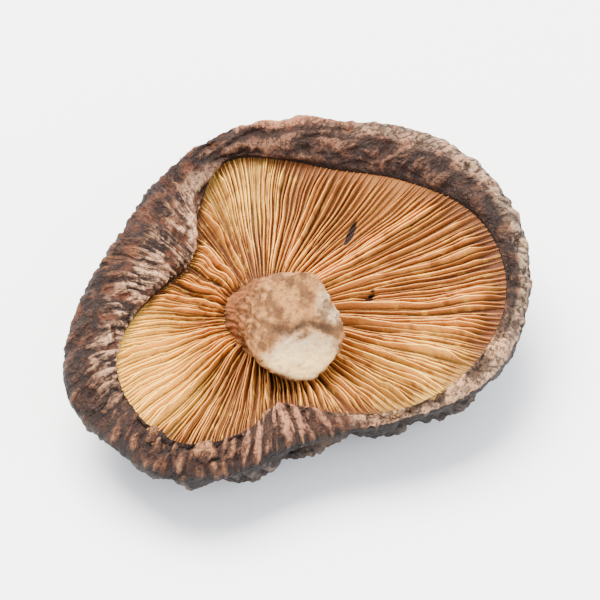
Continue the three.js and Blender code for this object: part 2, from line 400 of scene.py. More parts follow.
def capMaterial():
    material, tree, shader = newMaterial("capSkin", capSurface)
    place = objectPlace(tree)
    furrow = shaderAttribute(tree, "furrow")
    margin = shaderAttribute(tree, "margin")
    ring = shaderAttribute(tree, "ring", "Vector")
    c = capColors
    left, top, right, bottom = (facing(tree, ring, side) for side in ("left", "top", "right", "bottom"))
    broad = noise(tree, place, 0.16, 2.0)
    patchy = noise(tree, place, 0.42, 3.0, 0.6)
    other = noise(tree, vecCalc(tree, "ADD", place, (40, 7, 3)), 0.5, 3.0, 0.6)
    speck = noise(tree, place, 2.6, 4.0, 0.7)
    flow = vecCalc(tree, "MULTIPLY", warped(tree, ring, 0.6, 1.0), (1.0, 1.0, 0.2))
    line = puffs(tree, flow, 1.8, 4.0, 0.8, 2.0)
    wrinkle = puffs(tree, warped(tree, place, 0.9, 0.8), 1.15, 4.5, 0.7, 2.0)
    # the outer skin: nearly black furrows, greyish brown ridges, a few tan patches; the furrows are
    # painted darker as shade
    height = times(tree, furrow, calc(tree, "ADD", times(tree, wrinkle, 0.5), 0.5))
    outer = ramp(tree, height, [(0.0, c["furrow"]), (0.4, c["skin"]), (1.0, c["ridge"])])
    outer = mixColor(tree, step(tree, broad, 0.56, 0.7, 0, 0.4), outer, c["tan"])
    # the turned-in margin: painted shade in its furrows, and wear and painted highlight on its ridges
    creased = calc(tree, "ADD", times(tree, wrinkle, 0.35), times(tree, line, 0.35))
    wearAndShading = step(tree, times(tree, furrow, calc(tree, "ADD", creased, 0.4)), 0.08, 0.9)
    inner = ramp(tree, wearAndShading, [(0.08, c["marginDark"]), (0.42, c["margin"]), (1.0, c["marginPale"])])
    # at the right the outer half of the margin is pale grey, most on its ridges, with fine dark creases
    paleRim = times(tree, facing(tree, ring, "paleRim"), step(tree, margin, 0.56, 0.36))
    paleRim = times(tree, paleRim, step(tree, creased, 0.12, 0.42, 0.1, 0.9))
    paleRim = times(tree, paleRim, step(tree, furrow, 0.05, 0.5, 0.25, 1.0))
    inner = mixColor(tree, paleRim, inner, c["grey"])
    spared = calc(tree, "MAXIMUM", right, times(tree, bottom, 0.7))
    redness = times(tree, step(tree, patchy, 0.48, 0.62), calc(tree, "SUBTRACT", 0.85, spared), clamp=True)
    inner = mixColor(tree, times(tree, redness, 0.6), inner, c["red"])
    # orange on the raised folds, strongest at the top: the margin's orange-brown tint with a painted
    # highlight
    upper = calc(tree, "MAXIMUM", top, facing(tree, ring, "upperLeft"))
    orangeHighlight = times(tree, step(tree, other, 0.44, 0.58), calc(tree, "ADD", upper, 0.2))
    orangeHighlight = times(tree, orangeHighlight, step(tree, wearAndShading, 0.4, 0.9), clamp=True)
    inner = mixColor(tree, orangeHighlight, inner, c["orange"])
    lip = times(tree, step(tree, margin, 0.42, 0.68), step(tree, wearAndShading, 0.02, 0.42, 0.0, 0.95))
    inner = mixColor(tree, times(tree, lip, left), inner, c["mauve"])
    rosy = calc(tree, "MAXIMUM", facing(tree, ring, "rosyTop"), facing(tree, ring, "rosyBottom"))
    rosy = times(tree, rosy, step(tree, wearAndShading, 0.06, 0.5, 0.05, 0.85))
    inner = mixColor(tree, times(tree, rosy, step(tree, margin, 0.15, 0.4)), inner, c["rosy"])
    shaded = calc(tree, "MAXIMUM", times(tree, right, 0.8), times(tree, top, 0.64))
    wall = times(tree, step(tree, margin, 0.42, 0.58), shaded)
    inner = mixColor(tree, wall, inner, c["marginDark"])
    outerLeft = times(tree, left, step(tree, margin, 0.55, 0.35, 0.0, 0.3))
    inner = mixColor(tree, outerLeft, inner, c["marginDark"])
    # painted shade where the margin meets the gills
    inner = mixColor(tree, step(tree, margin, 0.9, 0.97, 0.0, 0.8), inner, c["marginDark"])
    chipped = times(tree, facing(tree, ring, "chipped"), step(tree, speck, 0.4, 0.56, 0.15, 1.0))
    chipped = times(tree, chipped, step(tree, other, 0.44, 0.56, 0.1, 0.9))
    inner = mixColor(tree, chipped, inner, c["chip"])
    color = mixColor(tree, step(tree, margin, 0.02, 0.14), outer, inner)
    pale = times(tree, step(tree, speck, 0.56, 0.7, 0.0, 0.6), step(tree, furrow, 0.3, 0.8, 0.2, 1.0))
    pale = times(tree, pale, step(tree, margin, 0.0, 0.12, 0.12, 1.0))
    color = mixColor(tree, pale, color, c["marginPale"])
    color = mixColor(tree, step(tree, speck, 0.46, 0.34, 0.0, 0.6), color, c["furrow"])
    rough = calc(tree, "ADD", speck, times(tree, wrinkle, 0.6))
    rough = calc(tree, "ADD", rough, times(tree, line, 0.5))
    dress(tree, shader, color, rough, capBump)
    return material


gillSurface = {
    "Roughness": 0.6,
    "Specular IOR Level": 0.15,
    "Subsurface Weight": 0.15,
    "Subsurface Radius": (1.0, 0.45, 0.15),
    "Subsurface Scale": 0.0006,
}
gillBump = {"Strength": 0.6, "Distance": 0.0002}
gillColors = {
    "gap": (0.060, 0.017, 0.005),
    "side": (0.540, 0.215, 0.044),
    "edge": (0.960, 0.450, 0.095),
    "yellow": (1.000, 0.600, 0.100),
    "brown": (0.190, 0.062, 0.016),
    "matted": (0.330, 0.125, 0.024),
    "torn": (0.014, 0.0036, 0.0010),
}
gillPatches = {  # middle in millimetres, and the distances from it where the patch is whole and is gone
    "yellow": [((-5.5, 14.2, 11.8), 1, 6), ((12.0, -9.0, 8.7), 2, 8)],
    "lobe": [((-17.5, -8.5, 8.5), 5, 11)],
    "shade": [
        ((3.0, 13.5, 11.0), 1.5, 7.5),
        ((-1.5, -6.5, 7.5), 1.5, 4),
        ((-7.0, -8.5, 7.5), 1, 6),
        ((4.5, -1.0, 8.0), 1.5, 6),
    ],
    "matted": [((8.5, 10.5, 11.0), 2, 10)],
    "darkEnds": [((14.0, 8.0, 11.0), 12, 22)],
    "pinched": [((-8.8, 5.1, 9.3), 2.5, 6)],
}
tornGills = [  # dark slits between the gills: where, along what, how fast they close along and across
    {"centre": (5.3, 9.1, 10.7), "along": (0.44, 0.90, 0.0), "closing": (0.5, 8.0)},
    {"centre": (7.2, 1.8, 8.8), "along": (0.80, 0.60, 0.0), "closing": (2.0, 12.0)},
]


def gillPatch(tree, place, name):
    return highest(tree, [near(tree, place, *patch) for patch in gillPatches[name]])


def tornMask(tree, place):
    # 1 in the torn slits, 0 elsewhere
    torn = 0.0
    for slit in tornGills:
        off = vecCalc(tree, "MULTIPLY", vecCalc(tree, "SUBTRACT", place, slit["centre"]), (1, 1, 0))
        lengthwise = vecCalc(tree, "DOT_PRODUCT", off, slit["along"])
        lengthwise = times(tree, lengthwise, lengthwise)
        sideways = calc(tree, "SUBTRACT", vecCalc(tree, "DOT_PRODUCT", off, off), lengthwise)
        slow, quick = slit["closing"]
        oval = calc(tree, "ADD", times(tree, sideways, quick), times(tree, lengthwise, slow))
        torn = calc(tree, "MAXIMUM", torn, step(tree, oval, 0.6, 1.2, 1.0, 0.0))
    return torn


def gillMaterial():
    material, tree, shader = newMaterial("gillFlesh", gillSurface)
    place = objectPlace(tree)
    tip = shaderAttribute(tree, "tip")
    tint = shaderAttribute(tree, "tint")
    streakPlace = shaderAttribute(tree, "streak", "Vector")
    c = gillColors
    lobe = gillPatch(tree, place, "lobe")
    # painted shade down between the blades and over the bed, brighter towards the blades' edges
    color = ramp(tree, tip, [(0.0, c["gap"]), (0.45, c["side"]), (1.0, c["edge"])])
    patchy = noise(tree, place, 0.35, 3.0, 0.6)
    yellow = times(tree, gillPatch(tree, place, "yellow"), step(tree, patchy, 0.6, 0.4, 0.3, 0.8))
    # over the left lobe the yellow is partly painted light, where the lobe faces the front
    yellow = times(tree, calc(tree, "MAXIMUM", yellow, lobe), step(tree, tip, -0.4, 0.5))
    color = mixColor(tree, yellow, color, c["yellow"])
    # browns in patches and in streaks along the blades, weaker in the lobe
    browned = times(tree, step(tree, patchy, 0.5, 0.74, 0.0, 0.45), step(tree, lobe, 0, 1, 1.0, 0.4))
    color = mixColor(tree, browned, color, c["brown"])
    streak = noise(tree, streakPlace, 1.0, 2.0, 0.6)
    streaked = times(tree, step(tree, streak, 0.54, 0.7), step(tree, lobe, 0, 1, 0.75, 0.22))
    color = mixColor(tree, streaked, color, c["brown"])
    color = mixColor(tree, step(tree, streak, 0.46, 0.3, 0.0, 0.65), color, c["yellow"])
    color = mixColor(tree, times(tree, gillPatch(tree, place, "shade"), 0.5), color, c["brown"])
    matted = times(tree, gillPatch(tree, place, "matted"), step(tree, tip, 0.8, 0.1, 0.1, 0.7))
    color = mixColor(tree, matted, color, c["matted"])
    tinted = times(tree, step(tree, tint, 0.5, 1.0), step(tree, lobe, 0, 1, 0.6, 0.18))
    color = mixColor(tree, tinted, color, c["brown"])
    grain = noise(tree, place, 5.0, 3.0, 0.6)
    color = mixColor(tree, step(tree, grain, 0.5, 0.7, 0.0, 0.4), color, c["brown"])
    # the far ends of the blades lie in the dark under the margin, but not in the left lobe
    along = parts(tree, streakPlace)[1]  # up to 9 at the margin
    ending = step(tree, along, 7.8, 8.8)
    ending = times(tree, ending, gillPatch(tree, place, "darkEnds"))
    color = mixColor(tree, times(tree, ending, 0.8), color, c["brown"])
    color = mixColor(tree, tornMask(tree, place), color, c["torn"])
    dress(tree, shader, color, grain, gillBump)
    return material


stemSurface = {"Roughness": 0.8, "Specular IOR Level": 0.25}
stemBump = {"Strength": 0.8, "Distance": 0.0004}
stemPatches = {  # middle on the end's unit disc, and the distances where the patch is whole and is gone
    "dry": ((0.72, 0.4, 0), 0.15, 0.5),
    "knot": ((-0.6, 0.33, 0), 0.07, 0.2),
}
stemColors = {
    "beige": (0.340, 0.150, 0.043),
    "spot": (0.075, 0.027, 0.009),
    "pale": (0.900, 0.590, 0.245),
    "root": (0.250, 0.082, 0.022),
    "crease": (0.070, 0.036, 0.018),
    "dry": (0.500, 0.340, 0.185),
}


def stemMaterial():
    material, tree, shader = newMaterial("stemFlesh", stemSurface)
    place = objectPlace(tree)
    fibre = shaderAttribute(tree, "fibre")
    face = shaderAttribute(tree, "disc", "Vector")  # across and up over the end, and how far in
    disc = parts(tree, face)
    length = shaderAttribute(tree, "length")
    c = stemColors
    mottle = noise(tree, place, 0.6, 3.0, 0.55)
    grain = noise(tree, vecCalc(tree, "MULTIPLY", place, (1.0, 1.0, 0.4)), 2.2, 4.0, 0.65)
    color = mixColor(tree, step(tree, length, 0.75, 0.2), c["beige"], c["root"])
    flatFace = vecCalc(tree, "MULTIPLY", face, (1, 1, 0))
    color = mixColor(tree, near(tree, flatFace, *stemPatches["dry"]), color, c["dry"])
    color = mixColor(tree, step(tree, mottle, 0.44, 0.62, 0, 0.8), color, c["spot"])
    color = mixColor(tree, step(tree, grain, 0.5, 0.64, 0, 0.55), color, c["spot"])
    knot = times(tree, near(tree, flatFace, *stemPatches["knot"]), step(tree, disc[2], 0.0, 0.02))
    color = mixColor(tree, times(tree, knot, 0.8), color, c["spot"])
    sideOnly = step(tree, disc[2], 0.15, 0.0)
    color = mixColor(tree, times(tree, step(tree, fibre, 0.45, 0.0, 0.0, 0.5), sideOnly), color, c["spot"])
    # the fresh cut: an oval on the lower half of the end
    wander = times(tree, calc(tree, "SUBTRACT", mottle, 0.5), 1.2)
    oval = vecCalc(tree, "MULTIPLY", face, (1.15, 1.8, 0))
    fromCut = calc(tree, "ADD", vecCalc(tree, "DISTANCE", oval, (0.1, -1.1, 0)), wander)
    cut = times(tree, step(tree, fromCut, 1.2, 0.8), step(tree, disc[2], 0.04, 0.2))
    pale = mixColor(tree, step(tree, disc[1], -0.65, -0.15), c["pale"], c["dry"])
    blotch = noise(tree, place, 1.3, 3.0, 0.6)
    pale = mixColor(tree, step(tree, blotch, 0.48, 0.68, 0, 0.5), pale, c["beige"])
    color = mixColor(tree, cut, color, pale)
    # painted shade along the crease across the end, broken by the grain
    creased = times(tree, shaderAttribute(tree, "crease"), step(tree, grain, 0.35, 0.55, 0.5, 0.95))
    color = mixColor(tree, creased, color, c["crease"])
    dress(tree, shader, color, grain, stemBump)
    return material


# The cap: skin, turned-in margin and the flesh under the gills, one closed surface

capForm = {
    "crown": (0.5, 1.8),  # where it rests
    "flattened": 0.28,
    "shoulder": 0.9,
    "columns": 480,
    "skinRings": 120,
    "marginRings": 56,
    "skinFurrow": 1.3,
    "marginFurrow": 0.8,
    "calm": (5.0, 10.0),
    "fleshDepth": 1.0,
    "fleshRings": (1.0, 0.6, 0.25),  # under the gills, as shares of their reach
    "fleshPower": 1.5,
    "lip": 0.8,  # how far the margin's inner edge hangs over the gills
    "lipShift": 0.5,  # and how far outside their visible end the gills really end
}
capRelief = {"Skin depth": 1.05, "Margin depth": 1.0, "Rim depth": 0.45}


def skinGrid(angle, share):
    rim, _, _, rimHeight, _ = outlineAt(angle)
    rimPlace = lay(around(angle, rim, rimHeight))
    dip = math.pi / 2 * share
    inward, width = np.sin(dip) ** 2, np.cos(dip) ** capForm["shoulder"]
    footX, footY, _ = lying["foot"]
    crownX, crownY = capForm["crown"]
    x = footX + (crownX - footX) * inward + (rimPlace[..., 0] - footX) * width
    y = footY + (crownY - footY) * inward + (rimPlace[..., 1] - footY) * width
    z = (rimPlace[..., 2] + capForm["flattened"]) * (1 - np.sin(dip)) - capForm["flattened"]
    calm = smooth(*capForm["calm"], np.hypot(x - crownX, y - crownY)) * smooth(0, 0.12, share)
    depth = capForm["skinFurrow"] * (crumple(x, y, z) - 1) * calm
    x = x + depth * np.cos(dip) * np.cos(angle)
    y = y + depth * np.cos(dip) * np.sin(angle)
    return np.stack([x, y, np.maximum(z - depth * np.sin(dip), 0)], -1)


def overhang(angle):
    # the margin hangs over the gills, but stands up as a plain wall on the right
    return 1 - smooth(-0.1, 0.6, np.cos(angle + 0.1))


def marginGrid(angle, share):
    rim, gillEdge, gillHeight, rimHeight, rise = outlineAt(angle)
    gillEdge = gillEdge + capForm["lipShift"] * overhang(angle)
    roll = math.pi * share
    radius = (rim + gillEdge) / 2 - (rim - gillEdge) / 2 * np.cos(roll)
    radius = radius - capForm["lip"] * overhang(angle) * smooth(0, 0.13, share) * smooth(0.5, 0.15, share)
    height = gillHeight + (rimHeight - gillHeight) * (1 - np.cos(roll)) / 2
    height = height + rise * np.abs(np.sin(roll)) ** 0.85
    fold = crumple(0.8 * rim * np.cos(angle), 0.8 * rim * np.sin(angle), 9 * share)
    height = height + capForm["marginFurrow"] * (fold - 1) * np.sin(roll)
    return lay(around(angle, radius, height))


def capMesh():
    angle = np.linspace(0, turn, capForm["columns"], endpoint=False)[None]
    skinShare = np.linspace(1, 0, capForm["skinRings"] + 2)[1:-1, None]
    marginShare = np.linspace(1, 0, capForm["marginRings"])[:, None]
    skin = skinGrid(angle, skinShare)
    margin = marginGrid(angle, marginShare)
    _, gillEdge, gillHeight, _, _ = outlineAt(angle[0])
    flesh = []
    for reach in capForm["fleshRings"]:
        height = gillHeight * reach ** capForm["fleshPower"] - capForm["fleshDepth"]
        flesh.append(lay(around(angle[0], gillEdge * reach, height)))
    grid = np.concatenate([skin, margin, flesh])
    rows = len(grid)
    zone = np.concatenate([np.zeros(len(skin)), 1 - marginShare[:, 0], np.ones(len(flesh))])
    # distance along the meridian from the rim, downwards on the skin and inwards on the margin
    steps = np.linalg.norm(np.diff(grid, axis=0), axis=-1)
    meridian = np.concatenate([np.zeros((1, grid.shape[1])), np.cumsum(steps, 0)])
    meridian = meridian[len(skin)] - meridian
    wide = np.broadcast_to(angle, (rows, angle.shape[1]))
    values = {
        "ring": around(wide, ringRadius, meridian),
        "margin": np.broadcast_to(zone[:, None], wide.shape),
    }
    crown = np.array([*capForm["crown"], 0.0])
    middle = lay(np.array([0, 0, -capForm["fleshDepth"]]))
    return gridMesh("cap", grid, values, firstPole=crown, lastPole=middle)


def capTree(material):
    tree, sizes = geometryTree("capFurrows", list(capRelief))
    place = scaled(tree, field(tree, "Position"), 1 / mm)
    ring = readAttribute(tree, "ring", "FLOAT_VECTOR")
    margin = readAttribute(tree, "margin")
    fromRim = calc(tree, "ABSOLUTE", parts(tree, ring)[2])
    left, top, right, bottom = (facing(tree, ring, side) for side in ("left", "top", "right", "bottom"))
    # winding wrinkles all over the skin
    wander = warped(tree, place, 0.25, 3.0)
    brain = crests(tree, wander, 0.34, 5.2, 1.1, 1.5)
    fine = crests(tree, warped(tree, place, 0.7, 1.2), 0.75, 4.6, 1.1, 1.0)
    skin = calc(tree, "ADD", times(tree, brain, 0.75), times(tree, fine, 0.4))
    # fine ridges that run over the rim
    flow = vecCalc(tree, "MULTIPLY", warped(tree, ring, 0.3, 1.2), (1.0, 1.0, 0.2))
    ridges = puffs(tree, flow, 0.9, 4.6, 0.8, 1.5)
    flowWide = vecCalc(tree, "MULTIPLY", warped(tree, ring, 0.22, 2.5), (1.0, 1.0, 0.3))
    wide = puffs(tree, flowWide, 0.5, 4.8, 0.8, 1.5)
    rimBand = step(tree, fromRim, 1.0, 7.0, 0.75, 0.0)
    skin = mixValue(tree, rimBand, skin, ridges)
    # long folds along the margin at the top, blotches and ridges towards the gills at the left
    tangent = vecCalc(tree, "MULTIPLY", warped(tree, ring, 0.2, 2.0), (0.16, 0.16, 1.0))
    folds = puffs(tree, tangent, 0.5, 4.0, 0.8, 1.0)
    blotch = puffs(tree, wander, 0.42, 4.4, 0.8, 2.0)
    finer = mixValue(tree, 0.5, ridges, wide)
    turned = mixValue(tree, left, mixValue(tree, 0.5, ridges, blotch), mixValue(tree, 0.35, finer, blotch))
    turned = mixValue(tree, top, turned, mixValue(tree, 0.35, folds, blotch))
    turned = mixValue(tree, right, turned, mixValue(tree, 0.5, ridges, blotch))
    turned = mixValue(tree, bottom, turned, mixValue(tree, 0.2, ridges, blotch))
    turned = mixValue(tree, step(tree, margin, 0.02, 0.2), ridges, turned)
    furrow = mixValue(tree, step(tree, margin, 0.0, 0.04), skin, turned)
    # less relief on the spot that it rests on, and none at the gills
    depth = mixValue(tree, step(tree, margin, 0.0, 0.15), sizes["Skin depth"], sizes["Margin depth"])
    depth = mixValue(tree, step(tree, fromRim, 3.0, 0.0), depth, sizes["Rim depth"])
    depth = times(tree, depth, step(tree, top, 0, 1, 1.0, 1.3))
    depth = times(tree, depth, step(tree, noise(tree, ring, 0.16, 1.0), 0.3, 0.7, 0.45, 1.25))
    flatPlace = vecCalc(tree, "MULTIPLY", place, (1, 1, 0))
    calm = step(tree, vecCalc(tree, "DISTANCE", flatPlace, (*capForm["crown"], 0)), 4.0, 8.5)
    calm = times(tree, calm, step(tree, margin, 0.85, 1.0, 1.0, 0.0))
    moved = embossed(tree, sizes["Geometry"], "furrow", furrow, times(tree, depth, calm))
    # nothing may reach below the floor
    x, y, z = parts(tree, field(tree, "Position"))
    moved = placed(tree, moved, Position=joined(tree, x, y, calc(tree, "MAXIMUM", z, 0.0)))
    closeTree(tree, moved, material)
    return tree


def makeCap():
    piece = grown("capFlesh", capMesh(), capTree(capMaterial()), capRelief)
    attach(piece, "root")
    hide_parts("cap")


makeCap()
print("cap made")


# The gills: a thin bed with three orders of blades standing on it

gillForm = {
    "bedPower": 1.5,
    "innerRing": (1.0, 0.2, 3.2),  # around the stem's foot, hidden inside it: centre and radius
    "reach": 0.22,  # the share of the margin's width that the bed runs under it
    "reachDepth": 0.45,
    "thickness": 0.7,
    "columns": 360,
    "rings": 36,
    "crowding": 0.6,  # how far the blades spread out where the cap is wide
    "bladeSteps": 18,
    "rootDepth": 0.25,  # how deep the blades stand in the bed
    "jitter": 0.16,  # how far a blade may stand off its even place, as a share of the spacing
    "tallness": (0.6, 1.15),  # shortest and tallest blade, as shares of their order's height
    "streaks": (400.0, 9.0),  # how long the streaks' pattern is, once round and along a blade
}
bladeOrders = [  # how many, where they start from the stem to the margin, how tall in mm
    {"count": 96, "start": 0.0, "scatter": 0.0, "tall": 1.5, "shift": 0.0},
    {"count": 96, "start": 0.08, "scatter": 0.25, "tall": 1.0, "shift": 0.5},
    {"count": 192, "start": 0.34, "scatter": 0.34, "tall": 0.7, "shift": 0.25},
]
bladeSizes = {"Root width": 0.24, "Edge width": 0.09, "Sway": 0.05, "Lean": 0.5, "Ragged": 0.9}


def bedAngles():
    # angles of the bed's columns: even steps would crowd the blades where the cap is narrow
    columns = gillForm["columns"]
    fineAngle = np.linspace(0, turn, 8 * columns + 1)
    weight = outlineAt(fineAngle[:-1])[1] ** gillForm["crowding"]
    reached = np.concatenate([[0], np.cumsum(weight)])
    return np.interp(np.arange(columns) / columns, reached / reached[-1], fineAngle)


def bedPoints(angle, share, depth):
    _, gillEdge, gillHeight, _, _ = outlineAt(angle)
    gillEdge = gillEdge + capForm["lipShift"] * overhang(angle)
    centreX, centreY, inner = gillForm["innerRing"]
    innerX, innerY = centreX + inner * np.cos(angle), centreY + inner * np.sin(angle)
    x = innerX + (gillEdge * np.cos(angle) - innerX) * share
    y = innerY + (gillEdge * np.sin(angle) - innerY) * share
    height = gillHeight * (np.hypot(x, y) / gillEdge) ** gillForm["bedPower"] - depth
    return lay(np.stack([x, y, height], -1))


def bedMesh():
    angle = bedAngles()[None]
    share = np.linspace(0, 1, gillForm["rings"])[:, None]
    top = bedPoints(angle, share, 0)
    rim, gillEdge = outlineAt(angle)[:2]
    reach = 1 + gillForm["reach"] * (rim - gillEdge) / gillEdge
    outer = bedPoints(angle, reach, gillForm["reachDepth"])
    underShare = np.concatenate([reach, 0.5 * reach, 0 * reach])
    under = bedPoints(angle, underShare, gillForm["thickness"])
    # from the underside's inner edge out, up and back over the top
    grid = np.concatenate([under[::-1], outer, top[::-1]])
    mesh = gridMesh("gillBed", grid, {})
    columns = gillForm["columns"]
    upper = len(under) + 1
    rows = len(grid)
    # a map of the bed's upper side, once round and from the stem to the margin
    values = np.zeros((len(mesh.loops), 2))
    loopVertex = np.zeros(len(mesh.loops), int)
    mesh.loops.foreach_get("vertex_index", loopVertex)
    row, column = loopVertex // columns, loopVertex % columns
    corner = np.arange(len(mesh.loops)) % 4
    isRight = (corner == 1) | (corner == 2)
    column = np.where(isRight & (column == 0), columns, column)
    values[:, 0] = column / columns
    pastEdge, offMap = 1.02, 3
    shareOfRow = np.concatenate([np.full(upper, pastEdge), np.linspace(1, 0, gillForm["rings"])])
    values[:, 1] = shareOfRow[row]
    # the underside lies off the map, so that no blade finds it
    polygonRow = np.repeat(loopVertex.reshape(-1, 4).min(1) // columns, 4)
    rowOfFace = np.repeat(row.reshape(-1, 4).max(1), 4)
    off = (rowOfFace < upper) | ((polygonRow == 0) & (rowOfFace == rows - 1))
    values[off, 1] += offMap
    mesh.uv_layers.new(name="bed").data.foreach_set("uv", values.ravel())
    return mesh


def bladeSet(tree, order, sizes, bed, number):
    # one order of blades: thin boxes whose points are mapped onto the bed
    count = order["count"]
    seeds = addNode(tree, "GeometryNodeMeshLine", {"Count": count, "Offset": (0, 0, 0)}).outputs[0]
    index = field(tree, "Index")

    def random(low, high, seed):
        inputs = {2: low, 3: high, "ID": index, "Seed": seed + 10 * number}
        return addNode(tree, "FunctionNodeRandomValue", inputs, data_type="FLOAT").outputs[1]

    turnShare = calc(tree, "DIVIDE", calc(tree, "ADD", index, order["shift"]), count)
    jitter = gillForm["jitter"] / count
    turnShare = calc(tree, "ADD", turnShare, random(-jitter, jitter, 1))
    seeds = keepAttribute(tree, seeds, "turnShare", turnShare)
    start = calc(tree, "ADD", order["start"], random(0.0, max(order["scatter"], 0.001), 2))
    seeds = keepAttribute(tree, seeds, "bladeStart", start)
    shortest, tallest = (order["tall"] * share for share in gillForm["tallness"])
    seeds = keepAttribute(tree, seeds, "bladeTall", random(shortest, tallest, 3))
    seeds = keepAttribute(tree, seeds, "tint", random(0.0, 1.0, 4))
    box = {"Size": (1, 1, 1), "Vertices X": gillForm["bladeSteps"], "Vertices Y": 2, "Vertices Z": 2}
    blade = addNode(tree, "GeometryNodeMeshCube", box).outputs["Mesh"]
    spread = addNode(tree, "GeometryNodeInstanceOnPoints", {"Points": seeds, "Instance": blade}).outputs[0]
    blades = addNode(tree, "GeometryNodeRealizeInstances", {"Geometry": spread}).outputs[0]
    x, y, z = parts(tree, field(tree, "Position"))
    along, up = calc(tree, "ADD", x, 0.5), calc(tree, "ADD", z, 0.5)
    begin = readAttribute(tree, "bladeStart")
    share = addNode(tree, "ShaderNodeMapRange", {0: along, 1: 0.0, 2: 1.0, 3: begin, 4: 1.0}).outputs[0]
    # every blade follows the same slow waves, so that neighbours stay side by side
    turnPlace = readAttribute(tree, "turnShare")
    angle = times(tree, turnPlace, turn)
    cosine, sine = calc(tree, "COSINE", angle), calc(tree, "SINE", angle)
    wavePlace = joined(tree, cosine, sine, share)
    wave = calc(tree, "SUBTRACT", noise(tree, wavePlace, 2.2, 0.5), 0.5)
    bunchPlace = vecCalc(tree, "MULTIPLY", wavePlace, (1, 1, 0.12))
    bunch = calc(tree, "SUBTRACT", noise(tree, bunchPlace, 14.0, 1.0), 0.5)
    free = times(tree, share, calc(tree, "SUBTRACT", 1.15, share))
    swayed = times(tree, times(tree, wave, free), sizes["Sway"])
    turned = calc(tree, "FRACT", calc(tree, "ADD", turnPlace, swayed))
    uvMap = readAttribute(tree, "bed", "FLOAT_VECTOR")
    bedPlace, bedNormal = field(tree, "Position"), field(tree, "Normal")

    def bedAt(value, shift):
        u = calc(tree, "FRACT", calc(tree, "ADD", turned, shift))
        inputs = {"Mesh": bed, "Value": value, "Source UV Map": uvMap, "Sample UV": joined(tree, u, share)}
        return addNode(tree, "GeometryNodeSampleUVSurface", inputs, data_type="FLOAT_VECTOR").outputs[0]

    root, normal = bedAt(bedPlace, 0.0), bedAt(bedNormal, 0.0)
    rootPlace = scaled(tree, root, 1 / mm)
    aside = 0.003  # of a turn to either side
    chord = vecCalc(tree, "SUBTRACT", bedAt(bedPlace, aside), bedAt(bedPlace, -aside))
    side = vecCalc(tree, "NORMALIZE", chord)
    # the blades are lower where they start and end, a little ragged, and hardly stand up in the torn slits
    swell = step(tree, along, 0.0, 0.22)
    fall = step(tree, share, 0.86, 1.0, 1.0, 0.2)
    height = times(tree, times(tree, swell, fall), readAttribute(tree, "bladeTall"))
    rag = times(tree, noise(tree, rootPlace, 0.8, 2.0), sizes["Ragged"])
    height = times(tree, height, calc(tree, "SUBTRACT", 1.35, rag))
    sparse = step(tree, noise(tree, bunchPlace, 9.0, 1.0), 0.58, 0.44, 0.5, 1.0)
    # more uneven where the margin comes close to the stem
    pinched = gillPatch(tree, rootPlace, "pinched")
    sparse = calc(tree, "POWER", sparse, calc(tree, "ADD", times(tree, pinched, 1.6), 1.0))
    bunch = times(tree, bunch, calc(tree, "ADD", times(tree, pinched, 1.5), 1.0))
    height = times(tree, height, sparse)
    torn = tornMask(tree, rootPlace)
    height = times(tree, height, calc(tree, "SUBTRACT", 1.0, times(tree, torn, 0.8)))
    depth = gillForm["rootDepth"]
    rise = calc(tree, "SUBTRACT", times(tree, up, calc(tree, "ADD", height, depth)), depth)
    width = mixValue(tree, up, sizes["Root width"], sizes["Edge width"])
    lean = times(tree, times(tree, bunch, height), times(tree, up, sizes["Lean"]))
    across = calc(tree, "ADD", times(tree, y, width), lean)
    place = vecCalc(tree, "ADD", root, scaled(tree, side, times(tree, across, mm)))
    place = vecCalc(tree, "ADD", place, scaled(tree, normal, times(tree, rise, mm)))
    tip = times(tree, up, calc(tree, "MINIMUM", calc(tree, "DIVIDE", height, 1.3), 1.0))
    blades = keepAttribute(tree, blades, "tip", tip)
    streaksAround, streaksAlong = gillForm["streaks"]
    streak = joined(tree, times(tree, turnPlace, streaksAround), times(tree, share, streaksAlong), number)
    blades = keepAttribute(tree, blades, "streak", streak, kind="FLOAT_VECTOR")
    return placed(tree, blades, Position=place)


def gillTree(material):
    tree, sizes = geometryTree("gillBlades", list(bladeSizes))
    bed = sizes["Geometry"]
    sets = [bladeSet(tree, order, sizes, bed, number) for number, order in enumerate(bladeOrders)]
    join = addNode(tree, "GeometryNodeJoinGeometry")
    for part in [bed, *sets]:
        tree.links.new(part, join.inputs[0])
    closeTree(tree, join.outputs[0], material)
    return tree


def makeGills():
    piece = grown("gillBlades", bedMesh(), gillTree(gillMaterial()), bladeSizes, math.radians(50))
    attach(piece, "root")
    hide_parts("gills")


makeGills()
print("gills made")


# The stem: short, thick and bent towards the front

stemForm = {
    "foot": (1.0, 0.2, -1.05),
    "bend": (2.9, -4.0, 4.7),
    "end": (4.9, -7.35, 8.3),
    "halfWidths": (4.0, 4.1, 4.9),
    "halfDepths": (3.8, 4.6, 6.0),
    "columns": 220,
    "rings": 110,
    "domeRings": 60,
    "domeHeight": 1.3,
    "fallBack": 0.85,  # how much of the dome's height is missing at the top
    "flare": 0.16,  # how much wider it is where it leaves the gills
    "closing": (0.05, 0.04),  # how far it narrows at the end, and how much more on its upper side
    "knobs": (0.05, 0.04),  # how uneven it is around, in three waves and in five
    "fibreRoll": (4.5, 12),  # radius and length of the roll that its fibres are drawn on
}
stemCrease = {"depth": 0.4, "width": 0.085, "middle": 0.02, "swing": 0.07, "waves": 6.0, "start": 0.9}
stemRelief = {"Fibre depth": 0.4, "End depth": 0.2}


